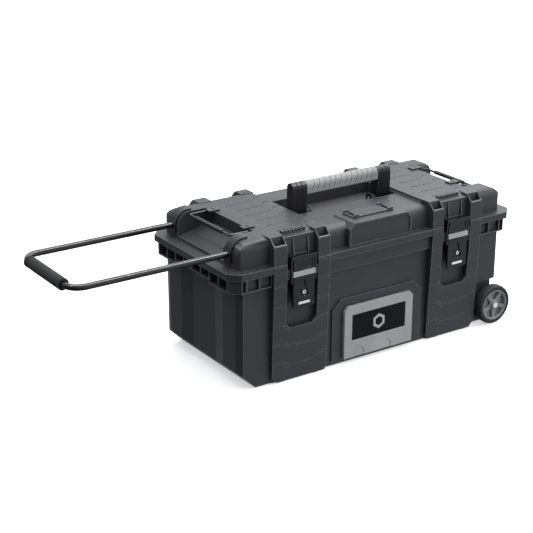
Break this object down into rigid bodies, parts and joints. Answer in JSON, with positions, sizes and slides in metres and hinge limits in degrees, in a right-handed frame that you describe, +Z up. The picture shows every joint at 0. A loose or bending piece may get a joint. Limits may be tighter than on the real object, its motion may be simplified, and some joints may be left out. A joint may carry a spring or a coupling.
{
  "type": "rolling toolbox",
  "caption": "Long rolling toolbox with hinged lid, draw latches, folding carry handle, sliding pull handle, wire end grips and wheels at one end.",
  "frame": {"origin": "middle of the tub's flat underside", "axes": "+X towards the wheel end, -Y towards the latches, +Z up"},
  "size_m": [1.0238, 0.33, 0.3535],
  "materials": {
    "body_plastic": "fine-textured charcoal polypropylene",
    "black_plastic": "semi-gloss black nylon",
    "grey_plastic": "matt mid-grey plastic",
    "grip_rubber": "soft light-grey ribbed rubber",
    "foam": "matt black foam",
    "coated_steel": "gloss black coating",
    "bright_steel": "zinc-plated",
    "tyre_rubber": "matt dark grey",
    "hub_plastic": "moulded grey",
    "panel": "smooth black"
  },
  "bodies": {
    "tub": {"tub_shell": "body_plastic", "lid_hinge_pin_left": "bright_steel", "lid_hinge_pin_right": "bright_steel", "badge_frame": "grey_plastic", "badge_panel": "panel", "latch_left_lever_pin": "bright_steel", "latch_right_lever_pin": "bright_steel", "wheel_axle": "bright_steel", "axle_cap_front": "bright_steel", "axle_cap_back": "bright_steel"},
    "lid": {"lid_shell": "body_plastic", "carry_handle_pin_left": "bright_steel", "carry_handle_pin_right": "bright_steel", "tube_guide_front": "black_plastic", "tube_guide_back": "black_plastic", "tube_channel_front": "body_plastic", "tube_channel_back": "body_plastic", "end_grip_left_clamp_front": "body_plastic", "end_grip_left_clamp_back": "body_plastic", "end_grip_right_clamp_front": "body_plastic", "end_grip_right_clamp_back": "body_plastic"},
    "carry_handle": {"carry_handle_post_left": "black_plastic", "carry_handle_post_right": "black_plastic", "carry_handle_core": "black_plastic", "carry_handle_grip": "grip_rubber"},
    "pull_handle": {"pull_handle_tube": "coated_steel", "pull_handle_grip": "foam", "pull_handle_stop_front": "grey_plastic", "pull_handle_stop_back": "grey_plastic"},
    "end_grip_left": {"end_grip_left_wire": "coated_steel", "end_grip_left_sleeve": "body_plastic"},
    "end_grip_right": {"end_grip_right_wire": "coated_steel", "end_grip_right_sleeve": "body_plastic"},
    "latch_left": {"latch_left_lever": "black_plastic", "latch_left_band": "grey_plastic", "latch_left_hook_pin": "bright_steel", "latch_left_padlock_eye": "bright_steel", "latch_left_pull_plate": "bright_steel"},
    "latch_right": {"latch_right_lever": "black_plastic", "latch_right_band": "grey_plastic", "latch_right_hook_pin": "bright_steel", "latch_right_padlock_eye": "bright_steel", "latch_right_pull_plate": "bright_steel"},
    "latch_left_catch": {"latch_left_hook": "black_plastic"},
    "latch_right_catch": {"latch_right_hook": "black_plastic"},
    "wheel_front": {"wheel_tyre_front": "tyre_rubber", "wheel_hub_front": "hub_plastic"},
    "wheel_back": {"wheel_tyre_back": "tyre_rubber", "wheel_hub_back": "hub_plastic"}
  },
  "joints": [
    {"name": "lid_hinge", "type": "hinge", "parent": "tub", "child": "lid", "pos_m": [0, 0.1605, 0.252], "axis": [-1, 0, 0], "range_deg": [0, 100]},
    {"name": "carry_handle_fold", "type": "hinge", "parent": "lid", "child": "carry_handle", "pos_m": [0, -0.0105, 0.284], "axis": [-1, 0, 0], "range_deg": [0, 90]},
    {"name": "pull_handle_slide", "type": "slide", "parent": "lid", "child": "pull_handle", "axis": [1, 0, 0], "range_m": [0, 0.285]},
    {"name": "end_grip_left_swing", "type": "hinge", "parent": "lid", "child": "end_grip_left", "pos_m": [-0.2668, 0, 0.2965], "axis": [0, 1, 0], "range_deg": [-30, 95]},
    {"name": "end_grip_right_swing", "type": "hinge", "parent": "lid", "child": "end_grip_right", "pos_m": [0.2668, 0, 0.2965], "axis": [0, -1, 0], "range_deg": [-18, 107]},
    {"name": "latch_left_lever_swing", "type": "hinge", "parent": "tub", "child": "latch_left", "pos_m": [-0.19475, -0.152, 0.224], "axis": [-1, 0, 0], "range_deg": [0, 120]},
    {"name": "latch_right_lever_swing", "type": "hinge", "parent": "tub", "child": "latch_right", "pos_m": [0.19475, -0.152, 0.224], "axis": [-1, 0, 0], "range_deg": [0, 120]},
    {"name": "latch_left_hook_swing", "type": "hinge", "parent": "latch_left", "child": "latch_left_catch", "pos_m": [-0.19475, -0.158, 0.2115], "axis": [-1, 0, 0], "range_deg": [-120, 0]},
    {"name": "latch_right_hook_swing", "type": "hinge", "parent": "latch_right", "child": "latch_right_catch", "pos_m": [0.19475, -0.158, 0.2115], "axis": [-1, 0, 0], "range_deg": [-120, 0]},
    {"name": "wheel_front_spin", "type": "hinge", "parent": "tub", "child": "wheel_front", "pos_m": [0.3108, -0.152, 0.0412], "axis": [0, 1, 0], "continuous": true},
    {"name": "wheel_back_spin", "type": "hinge", "parent": "tub", "child": "wheel_back", "pos_m": [0.3108, 0.152, 0.0412], "axis": [0, 1, 0], "continuous": true}
  ],
  "couplings": [
    {"joint": "latch_left_hook_swing", "follows": "latch_left_lever_swing", "ratio": -1},
    {"joint": "latch_right_hook_swing", "follows": "latch_right_lever_swing", "ratio": -1}
  ]
}
